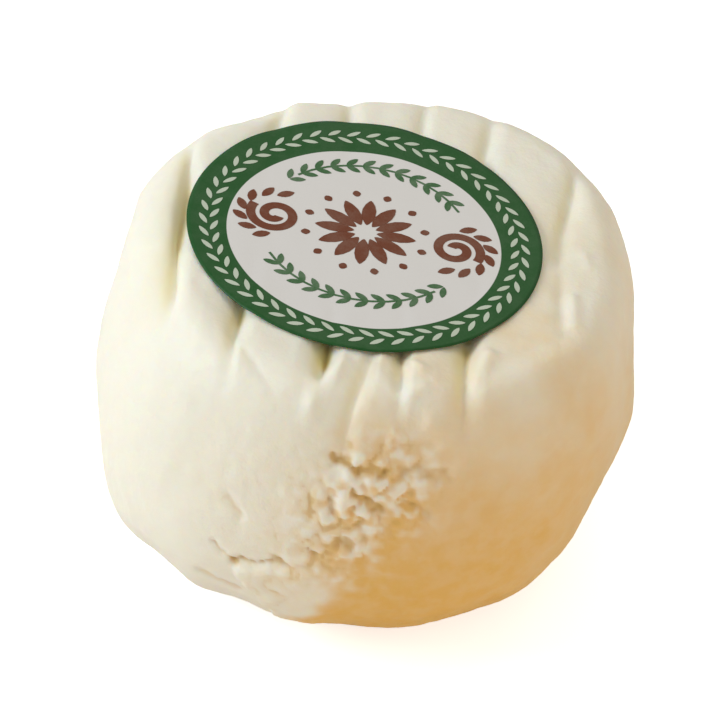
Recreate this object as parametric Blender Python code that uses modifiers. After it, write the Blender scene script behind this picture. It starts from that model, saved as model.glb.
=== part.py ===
"""A fresh farm goat cheese: a squat drum of soft white curd with a round paper label on top.

The origin is the middle of the flat base, +Z is up and -Y is the front. The drum is a turned
outline, made uneven round its girth. Cloth has pressed creases into its top, which run from back
to front under the label, and at the front the curd has crumbled and cracked.
"""
import math
from typing import NamedTuple

import bmesh
import bpy
from mathutils import Vector, noise

MM = 0.001

# The drum
GIRTH_RADIUS = 33 * MM
GIRTH_HEIGHT = 0.55 * GIRTH_RADIUS
HEIGHT = 1.146 * GIRTH_RADIUS
BASE_RADIUS = 0.66 * GIRTH_RADIUS
TOP_RADIUS = 0.76 * GIRTH_RADIUS
LOWER_ROUNDING = 2.2      # exponent of the curve from base to girth: 2 is an ellipse, more is squarer
UPPER_ROUNDING = 2.1      # the same from girth to top
SECTORS = 256             # the fine mesh that takes the relief, before it is thinned
UPPER_RINGS = 32
LOWER_RINGS = 26
COARSE_RING = 1.5 * MM    # spacing of the rings under the label
FINE_RING = 0.5 * MM      # spacing of the rings between the label and the shoulder
TRIANGLES = 9400          # left after thinning, most of them where the relief is

# The label
LABEL_RADIUS = 20.4 * MM
LABEL_CENTRE = Vector((-2.1 * MM, 0))
LABEL_THICKNESS = 0.3 * MM
LABEL_GAP = 0.3 * MM      # clear of the highest curd under it
LABEL_WAVE = 0.15 * MM    # how far the paper lifts between the creases that it spans
DISH = 0.5 * MM           # how far the curd is pressed down where the label lies
DISH_EDGE = 3.5 * MM      # width over which it rises again round the label
LABEL_SECTORS = 48
LABEL_RINGS = 5

CURD_COLOUR = (0.86, 0.79, 0.62, 1)
PAPER_COLOUR = (0.80, 0.78, 0.72, 1)


class Wave(NamedTuple):
    """An uneven roundness: how often it goes round, its height over the radius, where it is highest."""
    order: int
    amount: float
    angle: float


ROUNDNESS = (
    Wave(1, 0.015, 5),
    Wave(2, 0.032, 65),
    Wave(3, 0.009, 39),
    Wave(4, 0.023, -38),
)
LEAN = (                  # more of the same: none at mid height, growing upward, and opposite below
    Wave(1, 0.008, 33),
    Wave(2, 0.007, 9),
    Wave(3, 0.017, 53),
    Wave(4, 0.026, -15),
)


class Crease(NamedTuple):
    """A fold pressed by the cloth, in millimetres: a long slope on its left, a steep bank on its right."""
    back: tuple
    front: tuple
    back_depth: float
    front_depth: float
    slope: float
    bank: float


CREASES = (
    Crease((-24.8, 15.5), (-21.7, -21.0), 1.3, 2.2, 5.5, 1.9),
    Crease((-15.3, 27.5), (-13.8, -27.5), 0.9, 1.5, 4.0, 2.0),
    Crease((-18.5, -17.0), (-6.5, -31.5), 0.5, 0.6, 2.4, 1.8),
    Crease((-7.2, 30.5), (-3.7, -30.0), 0.9, 2.3, 2.6, 1.6),
    Crease((1.5, -18.0), (-0.5, -32.5), 0.0, 1.1, 2.2, 1.4),
    Crease((2.3, 31.5), (5.0, -30.0), 0.9, 1.3, 3.0, 1.7),
    Crease((9.8, 30.5), (12.2, -29.5), 1.1, 1.6, 3.6, 2.2),
    Crease((20.8, 23.0), (20.6, -3.0), 1.1, 0.8, 4.6, 2.3),
    Crease((21.0, 3.0), (21.3, -15.0), 0.5, 0.7, 4.6, 1.7),
)
CREASE_FADE = 8 * MM      # length over which a crease dies out at each end
CREASE_WANDER = 0.4 * MM  # how far it strays from a straight line, to both sides
WANDER_LENGTH = 5 * MM
CREASE_PITCH = 9 * MM     # from one crease to the next, on the whole


class Crack(NamedTuple):
    """A short open crack in the side: angle in degrees and height in millimetres at both ends."""
    start: tuple
    end: tuple
    width: float
    depth: float


CRACKS = (
    Crack((266, 31.8), (272, 30.4), 1.0, 1.3),
    Crack((273, 30.6), (280, 30.6), 1.6, 1.0),
    Crack((272, 27.2), (279, 25.7), 1.2, 1.1),
    Crack((266, 26.6), (268, 25.2), 1.3, 0.8),
    Crack((249, 23.4), (251, 21.6), 1.2, 0.8),
    Crack((251, 14.0), (264, 17.0), 0.9, 0.9),
    Crack((245, 8.8), (254, 8.0), 1.0, 0.7),
    Crack((96, 22.0), (108, 24.5), 1.2, 0.8),
    Crack((14, 11.0), (22, 12.5), 1.1, 0.6),
)


class Patch(NamedTuple):
    """A place where the curd has crumbled: angle and half width in degrees, heights in millimetres."""
    angle: float
    height: float
    half_angle: float
    half_height: float
    roughness: float


PATCHES = (
    Patch(275, 24.5, 14, 6.5, 0.75),
    Patch(268, 17, 15, 7, 0.55),
    Patch(255, 11, 12, 6, 0.5),
    Patch(104, 19, 13, 7, 0.6),
    Patch(20, 9, 12, 5, 0.5),
)
CRAG_SIZE = 3 * MM
CRAG_EDGE = 0.45          # share of a crag over which its side slopes


class Swell(NamedTuple):
    """A soft swelling or hollow of the side: angle and half width in degrees, heights in millimetres."""
    angle: float
    height: float
    half_angle: float
    half_height: float
    rise: float


SWELLS = (
    Swell(176, 27.5, 11, 5.5, -1.1),
    Swell(134, 36.5, 8, 4, -0.7),
    Swell(149, 35.5, 7, 4, -0.45),
    Swell(164, 31.0, 4, 3, 0.4),
    Swell(120, 36.3, 5, 3, 0.4),
    Swell(202, 14.5, 8, 4, -0.6),
    Swell(218, 6.0, 6, 4, 0.4),
    Swell(232, 4.0, 6, 4, -0.4),
    Swell(242, 4.0, 4, 3, 0.4),
    Swell(252, 4.0, 7, 4, -0.6),
    Swell(305, 4.5, 10, 4, -0.4),
    Swell(326, 7.5, 4, 3, -0.3),
    Swell(340, 13.5, 10, 5.5, -0.9),
    Swell(353, 20.5, 5, 4, 0.4),
    Swell(8, 28.0, 8, 5, -0.45),
    Swell(30, 35.0, 6, 3, 0.3),
    Swell(55, 15.0, 12, 7, -0.7),
    Swell(82, 27.0, 9, 6, 0.4),
    Swell(128, 11.0, 13, 6, -0.6),
)

# The crust flake that stands proud at the lower front, as angles in degrees and heights
FLAKE_LEFT, FLAKE_RIGHT = 250, 275
FLAKE_BOTTOM, FLAKE_TOP = 5 * MM, 15 * MM
FLAKE_EDGE = 1.2 * MM
FLAKE_HEIGHT = 0.7 * MM

CURD_UNEVENNESS = 0.35 * MM
CURD_LUMP = 11 * MM       # size of the soft lumps in the side
SMOOTH_SHOULDER = 5 * MM  # height below the top in which crumbs and cracks die out
RIM = 1.6 * MM            # the swells die out over this width on both sides of the top's rim
FLAT_FOOT = 1.5 * MM      # below this height the side stays smooth
FOOT_STEP = 0.05 * MM     # what is lower than this belongs to the flat foot


def ease(value, start, end):
    """0 before start and 1 past end, with a soft rise between them."""
    share = min(max((value - start) / (end - start), 0), 1)
    return share * share * (3 - 2 * share)


def drum_outline():
    """Radius and height, from the middle of the top, out and down, to the middle of the base."""
    fine_start = LABEL_RADIUS - COARSE_RING
    coarse = round(fine_start / COARSE_RING)
    fine = round((TOP_RADIUS - fine_start) / FINE_RING)
    points = [(fine_start * i / coarse, HEIGHT) for i in range(coarse)]
    points += [(fine_start + (TOP_RADIUS - fine_start) * i / fine, HEIGHT) for i in range(fine)]
    for i in range(UPPER_RINGS):
        turn = math.pi / 2 * (1 - i / UPPER_RINGS)
        radius = TOP_RADIUS + (GIRTH_RADIUS - TOP_RADIUS) * math.cos(turn) ** (2 / UPPER_ROUNDING)
        height = GIRTH_HEIGHT + (HEIGHT - GIRTH_HEIGHT) * math.sin(turn) ** (2 / UPPER_ROUNDING)
        points.append((radius, height))
    for i in range(LOWER_RINGS):
        turn = math.pi / 2 * (1 - i / LOWER_RINGS)
        radius = BASE_RADIUS + (GIRTH_RADIUS - BASE_RADIUS) * math.sin(turn) ** (2 / LOWER_ROUNDING)
        height = GIRTH_HEIGHT * (1 - math.cos(turn) ** (2 / LOWER_ROUNDING))
        points.append((radius, height))
    points += [(BASE_RADIUS, 0), (BASE_RADIUS / 2, 0), (0, 0)]
    return points


def turned(name, outline, sectors):
    """The mesh of an outline turned about Z by a Screw modifier, with its poles closed."""
    mesh = bpy.data.meshes.new(name + "_outline")
    edges = [(i, i + 1) for i in range(len(outline) - 1)]
    mesh.from_pydata([(radius, 0, height) for radius, height in outline], edges, [])
    guide = bpy.data.objects.new(name + "_outline", mesh)
    bpy.context.scene.collection.objects.link(guide)
    screw = guide.modifiers.new("turn", "SCREW")
    screw.steps = sectors
    screw.render_steps = sectors
    screw.use_merge_vertices = True
    screw.merge_threshold = 0.01 * MM
    graph = bpy.context.evaluated_depsgraph_get()
    solid = bpy.data.meshes.new_from_object(guide.evaluated_get(graph))
    solid.name = name
    bpy.data.objects.remove(guide)
    return solid


def uneven_radius(angle, height):
    """How much wider than a true circle the drum is at this angle and height."""
    level = height / HEIGHT - 0.5
    factor = 1
    for wave in ROUNDNESS:
        factor += wave.amount * math.cos(wave.order * (angle - math.radians(wave.angle)))
    for wave in LEAN:
        factor += level * wave.amount * math.cos(wave.order * (angle - math.radians(wave.angle)))
    return factor


def crease_depth(crease, x, y):
    """How deep a crease is below the lobes on its sides, at a place seen from above."""
    back_x, back_y = (value * MM for value in crease.back)
    front_x, front_y = (value * MM for value in crease.front)
    along = min(max((back_y - y) / (back_y - front_y), 0), 1)
    middle = back_x + (front_x - back_x) * along
    middle += CREASE_WANDER * math.sin((y + back_x) / WANDER_LENGTH)
    across = x - middle
    width = (crease.slope if across < 0 else crease.bank) * MM
    depth = (crease.back_depth + (crease.front_depth - crease.back_depth) * along) * MM
    ends = ease(back_y - y, 0, CREASE_FADE) * ease(y - front_y, 0, CREASE_FADE)
    return depth * ends * ease(1 - abs(across) / width, 0, 1)


def girth_offset(angle, other_degrees):
    """Distance round the girth from another angle, the short way round."""
    turn = angle - math.radians(other_degrees)
    return math.atan2(math.sin(turn), math.cos(turn)) * GIRTH_RADIUS


def crack_depth(crack, angle, height):
    """How deep a crack is at an angle and height on the side."""
    start = Vector((0, crack.start[1] * MM))
    run = Vector((math.radians(crack.end[0] - crack.start[0]) * GIRTH_RADIUS, crack.end[1] * MM)) - start
    place = Vector((girth_offset(angle, crack.start[0]), height)) - start
    share = min(max(place.dot(run) / run.length_squared, 0), 1)
    distance = (place - run * share).length / (crack.width * MM)
    return crack.depth * MM * math.exp(-distance * distance)


def crag_relief(patch, place, angle, height):
    """Crumbs and hollows inside a patch, below the smooth surface."""
    across = girth_offset(angle, patch.angle) / (math.radians(patch.half_angle) * GIRTH_RADIUS)
    upward = (height - patch.height * MM) / (patch.half_height * MM)
    inside = math.exp(-across ** 4 - upward ** 4)
    nearest, second = noise.voronoi(place / CRAG_SIZE)[0][:2]
    return patch.roughness * MM * inside * (ease(second - nearest, 0, CRAG_EDGE) - 1)


def swell_relief(swell, angle, height):
    """The rise of one soft swelling, or the sink of a hollow."""
    across = girth_offset(angle, swell.angle) / (math.radians(swell.half_angle) * GIRTH_RADIUS)
    upward = (height - swell.height * MM) / (swell.half_height * MM)
    return swell.rise * MM * math.exp(-across ** 2 - upward ** 2)


def flake_relief(angle, height):
    """The flake of crust that stands proud at the lower front."""
    left = girth_offset(angle, FLAKE_LEFT)
    right = -girth_offset(angle, FLAKE_RIGHT)
    inside = ease(left, 0, FLAKE_EDGE) * ease(right, 0, FLAKE_EDGE)
    inside *= ease(height - FLAKE_BOTTOM, 0, 2 * FLAKE_EDGE) * ease(FLAKE_TOP - height, 0, FLAKE_EDGE)
    return FLAKE_HEIGHT * inside


def relief(place):
    """How far the surface stands out from the smooth drum at a place on it. Below 0 is sunk."""
    angle = math.atan2(place.y, place.x)
    height = place.z
    foot = ease(height, 0, FLAT_FOOT)
    rim = ease(place.xy.length, TOP_RADIUS - RIM, TOP_RADIUS + RIM)
    side = ease(HEIGHT - height, 0, SMOOTH_SHOULDER)
    lumps = CURD_UNEVENNESS * noise.noise(place / CURD_LUMP)
    crags = sum(crag_relief(patch, place, angle, height) for patch in PATCHES)
    cracks = sum(crack_depth(crack, angle, height) for crack in CRACKS)
    swells = sum(swell_relief(swell, angle, height) for swell in SWELLS)
    creases = 0
    if height > GIRTH_HEIGHT:
        creases = max(crease_depth(crease, place.x, place.y) for crease in CREASES)
    curd = side * (lumps + crags - cracks + flake_relief(angle, height))
    past_label = (place.xy - LABEL_CENTRE).length - LABEL_RADIUS - LABEL_GAP
    dish = DISH * (1 - ease(past_label, 0, DISH_EDGE)) if height > GIRTH_HEIGHT else 0
    return foot * (curd + rim * swells) - creases - dish


def press_curd(mesh):
    """Makes the turned drum uneven, then moves its surface in and out by the relief."""
    for vertex in mesh.vertices:
        factor = uneven_radius(math.atan2(vertex.co.y, vertex.co.x), vertex.co.z)
        vertex.co.x *= factor
        vertex.co.y *= factor
    mesh.update()
    normals = [vertex.normal.copy() for vertex in mesh.vertices]
    for vertex, normal in zip(mesh.vertices, normals):
        if vertex.co.z > 0:
            vertex.co += normal * relief(vertex.co)


def thinned(mesh, triangles):
    """The mesh with fewer triangles, by a Decimate modifier, and its foot made truly flat again."""
    guide = bpy.data.objects.new(mesh.name + "_fine", mesh)
    bpy.context.scene.collection.objects.link(guide)
    mesh.calc_loop_triangles()
    fewer = guide.modifiers.new("fewer", "DECIMATE")
    fewer.ratio = triangles / len(mesh.loop_triangles)
    graph = bpy.context.evaluated_depsgraph_get()
    light = bpy.data.meshes.new_from_object(guide.evaluated_get(graph))
    bpy.data.objects.remove(guide)
    for vertex in light.vertices:
        if vertex.co.z < FOOT_STEP:
            vertex.co.z = 0
    return light


def lay_paper(mesh):
    """Sets the disc of paper on top of the curd, its edge lifted a little between the creases."""
    for vertex in mesh.vertices:
        x = vertex.co.x + LABEL_CENTRE.x
        y = vertex.co.y + LABEL_CENTRE.y
        lift = LABEL_WAVE * (1 + math.sin(math.tau * x / CREASE_PITCH + y / CREASE_PITCH)) / 2
        edge = ease(vertex.co.xy.length, LABEL_RADIUS / 2, LABEL_RADIUS)
        vertex.co = (x, y, HEIGHT - DISH + LABEL_GAP + lift * edge)


def triangulated(mesh):
    """Splits the mesh into triangles, so that both faces of a sheet made from it are split alike."""
    work = bmesh.new()
    work.from_mesh(mesh)
    bmesh.ops.triangulate(work, faces=work.faces)
    work.to_mesh(mesh)
    work.free()


def plain_material(name, colour, roughness):
    """A plain finish with the piece's own colour."""
    material = bpy.data.materials.new(name)
    material.use_nodes = True
    shader = material.node_tree.nodes["Principled BSDF"]
    shader.inputs["Base Color"].default_value = colour
    shader.inputs["Roughness"].default_value = roughness
    return material


def add_object(name, mesh, material, collection):
    """Puts a finished mesh in the collection under its own name."""
    mesh.materials.clear()
    mesh.materials.append(material)
    thing = bpy.data.objects.new(name, mesh)
    collection.objects.link(thing)
    return thing


def build():
    for old in list(bpy.data.objects):
        bpy.data.objects.remove(old)
    collection = bpy.data.collections.new("goat_cheese")
    bpy.context.scene.collection.children.link(collection)

    curd = turned("cheese", drum_outline(), SECTORS)
    press_curd(curd)
    light = thinned(curd, TRIANGLES)
    light.shade_smooth()
    add_object("cheese", light, plain_material("curd", CURD_COLOUR, 0.55), collection)

    disc = [(LABEL_RADIUS * (1 - i / LABEL_RINGS), 0) for i in range(LABEL_RINGS + 1)]
    paper = turned("label", disc[::-1], LABEL_SECTORS)
    lay_paper(paper)
    triangulated(paper)
    label = add_object("label", paper, plain_material("paper", PAPER_COLOUR, 0.45), collection)
    sheet = label.modifiers.new("thickness", "SOLIDIFY")
    sheet.thickness = LABEL_THICKNESS
    sheet.offset = 1


build()
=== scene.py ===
import math
from typing import NamedTuple

import bpy
from mathutils import Matrix, Vector


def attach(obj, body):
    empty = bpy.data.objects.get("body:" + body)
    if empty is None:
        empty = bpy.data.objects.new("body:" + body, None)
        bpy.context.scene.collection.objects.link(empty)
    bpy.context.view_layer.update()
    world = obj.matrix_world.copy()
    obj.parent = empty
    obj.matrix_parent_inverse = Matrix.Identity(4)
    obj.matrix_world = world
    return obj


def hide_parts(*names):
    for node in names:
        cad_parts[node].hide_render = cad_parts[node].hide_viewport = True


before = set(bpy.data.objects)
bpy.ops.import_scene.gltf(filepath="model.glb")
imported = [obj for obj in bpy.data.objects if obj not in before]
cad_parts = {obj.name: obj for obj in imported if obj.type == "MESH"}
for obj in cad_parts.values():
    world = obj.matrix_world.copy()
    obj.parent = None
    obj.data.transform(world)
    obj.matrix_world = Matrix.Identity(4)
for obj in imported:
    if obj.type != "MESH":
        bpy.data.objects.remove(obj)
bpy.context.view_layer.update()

MM = 0.001
scene = bpy.context.scene


# The camera
# It looks down on the front of the cheese and is turned a little about its own line of sight.
# It stands twelve cheese radii away, which gives the gentle perspective of a long lens.
GIRTH_RADIUS = 33 * MM
PICTURE_SIDE = 720
CAMERA_ELEVATION = math.radians(41.6)
CAMERA_ROLL = math.radians(10.2)
CAMERA_DISTANCE = 12 * GIRTH_RADIUS
GIRTH_IN_PIXELS = 274.5           # the girth's radius in the picture
AIM_HEIGHT = 0.35 * GIRTH_RADIUS  # the point on the axis from which the picture's middle is counted
AIM_RIGHT, AIM_UP = 5.3, 44.5     # the picture's middle from that point, in pixels
SENSOR = 36                       # millimetres

level_right = Vector((1, 0, 0))
line_of_sight = Vector((0, math.cos(CAMERA_ELEVATION), -math.sin(CAMERA_ELEVATION)))
level_up = Vector((0, math.sin(CAMERA_ELEVATION), math.cos(CAMERA_ELEVATION)))
picture_right = level_right * math.cos(CAMERA_ROLL) + level_up * math.sin(CAMERA_ROLL)
picture_up = level_up * math.cos(CAMERA_ROLL) - level_right * math.sin(CAMERA_ROLL)
pixel = GIRTH_RADIUS / GIRTH_IN_PIXELS
axis_point = Vector((0, 0, AIM_HEIGHT))
stand = axis_point - line_of_sight * CAMERA_DISTANCE
aim = axis_point + (picture_right * AIM_RIGHT + picture_up * AIM_UP) * pixel
ahead = (aim - stand).normalized()
picture_right = (picture_right - ahead * picture_right.dot(ahead)).normalized()
picture_up = picture_right.cross(ahead)

lens = bpy.data.cameras.new("camera")
lens.sensor_width = SENSOR
lens.lens = GIRTH_IN_PIXELS * CAMERA_DISTANCE / GIRTH_RADIUS / PICTURE_SIDE * SENSOR
lens.clip_start = 0.01
camera = bpy.data.objects.new("camera", lens)
scene.collection.objects.link(camera)
turn = Matrix((picture_right, picture_up, -ahead)).transposed()
camera.matrix_world = Matrix.Translation(stand) @ turn.to_4x4()
scene.camera = camera
scene.view_settings.view_transform = "Standard"


# The light and the table
# A large soft lamp stands to the left of the cheese. A warm one fills low from the front right, and
# another from above and behind. The table is plain and pale, and throws a warm light back on the foot
# of the cheese.
def soft_lamp(name, place, side, watts, colour):
    """A square lamp at a place, turned to the middle of the cheese."""
    lamp = bpy.data.lights.new(name, "AREA")
    lamp.size = side
    lamp.energy = watts
    lamp.color = colour
    stand = bpy.data.objects.new(name, lamp)
    scene.collection.objects.link(stand)
    stand.location = place
    stand.rotation_euler = (axis_point - stand.location).to_track_quat("-Z", "Y").to_euler()


soft_lamp("key_lamp", Vector((-0.57, -0.10, 0.33)), side=0.34, watts=2.40, colour=(0.90, 0.97, 1.0))
soft_lamp("warm_fill", Vector((0.34, -0.24, 0.07)), side=0.24, watts=0.32, colour=(1.0, 0.68, 0.32))
soft_lamp("top_fill", Vector((0.12, 0.34, 0.62)), side=0.40, watts=0.70, colour=(1.0, 0.90, 0.72))

ROOM_LIGHT = (0.99, 0.96, 0.89, 1)
ROOM_STRENGTH = 0.46
room = bpy.data.worlds.new("room")
scene.world = room
room.use_nodes = True
room.node_tree.nodes["Background"].inputs["Color"].default_value = ROOM_LIGHT
room.node_tree.nodes["Background"].inputs["Strength"].default_value = ROOM_STRENGTH


def feed(tree, socket, value):
    """Links a socket to another node's output, or sets it to a plain value."""
    if isinstance(value, bpy.types.NodeSocket):
        tree.links.new(value, socket)
    else:
        socket.default_value = value


def maths(tree, operation, *values, clamp=False):
    """The result of a Math node fed with sockets or numbers."""
    node = tree.nodes.new("ShaderNodeMath")
    node.operation = operation
    node.use_clamp = clamp
    for socket, value in zip(node.inputs, values):
        feed(tree, socket, value)
    return node.outputs[0]


def mixed(tree, share, first, second):
    """A colour between two others."""
    node = tree.nodes.new("ShaderNodeMixRGB")
    for socket, value in zip(node.inputs, (share, first, second)):
        feed(tree, socket, value)
    return node.outputs["Color"]


def new_finish(name, roughness, specular):
    """A material with its Principled shader: gives back the material, its tree and the shader."""
    material = bpy.data.materials.new(name)
    material.use_nodes = True
    shader = material.node_tree.nodes["Principled BSDF"]
    shader.inputs["Roughness"].default_value = roughness
    shader.inputs["Specular IOR Level"].default_value = specular
    return material, material.node_tree, shader


TABLE_REACH = 3                   # metres from its middle to its edges
TABLE_PALE = (0.93, 0.925, 0.92, 1)
TABLE_BOUNCE = (0.95, 0.90, 0.85, 1)  # the warmer tone of the light that it throws back
TABLE_GLOW = 0.7                  # keeps it pale to the eye, and lights nothing
table_paint, tree, shader = new_finish("pale_table", roughness=0.9, specular=0.1)
shader.inputs["Emission Color"].default_value = TABLE_PALE
seen = tree.nodes.new("ShaderNodeLightPath").outputs["Is Camera Ray"]
feed(tree, shader.inputs["Base Color"], mixed(tree, seen, TABLE_BOUNCE, TABLE_PALE))
feed(tree, shader.inputs["Emission Strength"], maths(tree, "MULTIPLY", seen, TABLE_GLOW))

table_mesh = bpy.data.meshes.new("table")
corners = [(x, y, 0) for x, y in ((-1, -1), (1, -1), (1, 1), (-1, 1))]
table_mesh.from_pydata([Vector(corner) * TABLE_REACH for corner in corners], [], [(0, 1, 2, 3)])
table_mesh.materials.append(table_paint)
table = bpy.data.objects.new("table", table_mesh)
scene.collection.objects.link(table)


# The curd
# One drum of fresh goat's milk curd, drained in a cloth and a mould: soft, white and a little moist.
# A turned outline is made uneven, and each fold that the cloth pressed, each ridge, swelling, crack
# and crumbled patch adds its own relief to the surface.
HEIGHT = 1.146 * GIRTH_RADIUS
GIRTH_HEIGHT = 0.55 * GIRTH_RADIUS
BASE_RADIUS = 0.66 * GIRTH_RADIUS
TOP_RADIUS = 0.76 * GIRTH_RADIUS
LOWER_ROUNDING = 2.2
UPPER_ROUNDING = 2.1
LABEL_RADIUS = 20.65 * MM
LABEL_CENTRE = Vector((-2.3 * MM, 0))
SECTORS = 520
UPPER_RINGS = 68
LOWER_RINGS = 62
COARSE_RING = 1.2 * MM            # spacing of the rings under the label
FINE_RING = 0.33 * MM             # from just inside the label's edge to the shoulder


def drum_outline():
    """Radius and height, from the middle of the top, out and down, to the middle of the base."""
    fine_start = LABEL_RADIUS - COARSE_RING
    coarse = round(fine_start / COARSE_RING)
    fine = round((TOP_RADIUS - fine_start) / FINE_RING)
    points = [(fine_start * i / coarse, HEIGHT) for i in range(coarse)]
    points += [(fine_start + (TOP_RADIUS - fine_start) * i / fine, HEIGHT) for i in range(fine)]
    for i in range(UPPER_RINGS):
        turn = math.pi / 2 * (1 - i / UPPER_RINGS)
        radius = TOP_RADIUS + (GIRTH_RADIUS - TOP_RADIUS) * math.cos(turn) ** (2 / UPPER_ROUNDING)
        height = GIRTH_HEIGHT + (HEIGHT - GIRTH_HEIGHT) * math.sin(turn) ** (2 / UPPER_ROUNDING)
        points.append((radius, height))
    for i in range(LOWER_RINGS):
        turn = math.pi / 2 * (1 - i / LOWER_RINGS)
        radius = BASE_RADIUS + (GIRTH_RADIUS - BASE_RADIUS) * math.sin(turn) ** (2 / LOWER_ROUNDING)
        height = GIRTH_HEIGHT * (1 - math.cos(turn) ** (2 / LOWER_ROUNDING))
        points.append((radius, height))
    points += [(BASE_RADIUS, 0), (BASE_RADIUS / 2, 0), (0, 0)]
    return points


class Wave(NamedTuple):
    """An uneven roundness: how often it goes round, its height over the radius, where it is highest."""
    order: int
    amount: float
    angle: float


ROUNDNESS = (
    Wave(1, 0.015, 5),
    Wave(2, 0.032, 65),
    Wave(3, 0.009, 39),
    Wave(4, 0.023, -38),
)
LEAN = (                          # none at mid height, growing upward, and opposite below
    Wave(1, 0.008, 33),
    Wave(2, 0.007, 9),
    Wave(3, 0.017, 53),
    Wave(4, 0.026, -15),
)


class Crease(NamedTuple):
    """A fold pressed by the cloth, in millimetres: a long slope on its left, a steep bank on its right."""
    back: tuple
    front: tuple
    back_depth: float
    front_depth: float
    slope: float
    bank: float


CREASES = (
    Crease((-24.8, 15.5), (-21.7, -21.0), 1.1, 1.7, 6.5, 2.2),
    Crease((-15.3, 27.5), (-13.8, -27.5), 0.9, 1.5, 4.6, 2.0),
    Crease((-18.5, -16.0), (-6.5, -31.5), 0.45, 0.55, 3.6, 3.0),
    Crease((-7.2, 30.5), (-3.7, -29.8), 0.7, 2.1, 3.6, 1.9),
    Crease((1.2, -16.0), (-0.9, -34.0), 0.5, 1.5, 3.6, 1.6),
    Crease((2.3, 31.5), (4.5, -30.0), 0.7, 1.3, 3.2, 1.2),
    Crease((9.8, 30.5), (12.2, -29.5), 0.9, 1.7, 4.2, 2.2),
    Crease((20.8, 23.0), (20.6, -3.0), 1.2, 0.9, 5.2, 2.5),
    Crease((21.0, 3.0), (21.3, -15.0), 0.5, 0.8, 5.0, 1.9),
)


class Ridge(NamedTuple):
    """A short ridge in the top, in millimetres as seen from above: both ends, half width and rise."""
    start: tuple
    end: tuple
    width: float
    rise: float


RIDGES = (
    Ridge((-2.4, -22.8), (-4.6, -28.8), 1.0, 0.45),
    Ridge((1.0, -22.4), (0.2, -29.0), 0.7, 0.30),
    Ridge((5.2, -21.2), (6.4, -21.8), 0.9, 0.50),
    Ridge((6.9, -24.6), (5.6, -26.2), 0.9, 0.32),
    Ridge((4.6, -29.6), (4.9, -30.4), 0.8, 0.30),
    Ridge((13.6, -17.6), (12.5, -21.2), 1.0, 0.50),
    Ridge((8.4, -27.8), (12.2, -28.1), 0.8, 0.35),
    Ridge((22.1, -5.2), (22.6, -9.8), 0.8, 0.45),
    Ridge((23.0, 2.8), (23.6, 1.2), 0.9, 0.35),
)


class Crack(NamedTuple):
    """A short open crack in the side: angle in degrees and height in millimetres at both ends."""
    start: tuple
    end: tuple
    width: float
    depth: float


CRACKS = (
    Crack((267.5, 31.3), (272, 30.5), 0.6, 0.75),
    Crack((273.5, 30.1), (278.5, 30.1), 0.6, 0.6),
    Crack((279, 30.5), (291, 29.9), 0.9, 0.45),
    Crack((272.5, 27.3), (278, 25.4), 0.6, 0.75),
    Crack((268, 26.4), (269, 25.2), 0.7, 0.5),
    Crack((283, 26.7), (288, 25.2), 0.7, 0.4),
    Crack((275, 22.8), (276, 21.0), 0.8, 0.35),
    Crack((271.5, 20.8), (274.5, 19.7), 0.6, 0.65),
    Crack((265.5, 18.6), (268, 17.8), 0.5, 0.6),
    Crack((249, 23.2), (252, 21.0), 0.8, 0.35),
    Crack((247.5, 15.6), (251.5, 13.6), 0.4, 0.4),
    Crack((251.5, 13.6), (262, 15.7), 0.45, 0.55),
    Crack((246, 8.7), (253, 8.1), 0.9, 0.4),
    Crack((98, 22.4), (104, 23.6), 0.6, 0.55),
    Crack((106, 20.4), (109, 19.2), 0.6, 0.45),
    Crack((17, 11.0), (22, 12.0), 0.6, 0.45),
)


class Patch(NamedTuple):
    """A place where the curd has crumbled: angle and half width in degrees, heights in millimetres."""
    angle: float
    height: float
    half_angle: float
    half_height: float
    roughness: float


PATCHES = (
    Patch(277, 27.2, 12, 4.6, 0.80),
    Patch(270, 20.0, 9, 6.5, 0.65),
    Patch(280, 32.8, 9, 2.4, 0.30),
    Patch(261, 11.0, 8, 7.0, 0.28),
    Patch(255, 27.0, 16, 9.0, 0.12),
    Patch(103, 21.5, 11, 4.6, 0.40),
    Patch(109, 16.5, 9, 4.4, 0.28),
    Patch(22, 10.0, 10, 4.2, 0.34),
)


class Grain(NamedTuple):
    """A crumb that stands proud: angle in degrees, and height, half width and rise in millimetres."""
    angle: float
    height: float
    width: float
    rise: float


GRAINS = (
    Grain(280, 34.3, 0.8, 0.35),
    Grain(280, 30.2, 1.0, 0.40),
    Grain(277, 29.3, 1.1, 0.45),
    Grain(286, 29.3, 1.1, 0.45),
    Grain(272, 29.1, 1.1, 0.40),
    Grain(269, 28.3, 0.9, 0.35),
    Grain(270, 26.8, 0.9, 0.35),
    Grain(272, 24.8, 1.0, 0.40),
    Grain(276, 24.5, 1.1, 0.40),
    Grain(268, 23.7, 0.9, 0.35),
    Grain(284, 24.2, 1.1, 0.25),
    Grain(273, 19.2, 0.9, 0.45),
)


class Swell(NamedTuple):
    """A soft swelling or hollow of the side: angle and half width in degrees, heights in millimetres."""
    angle: float
    height: float
    half_angle: float
    half_height: float
    rise: float


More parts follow.
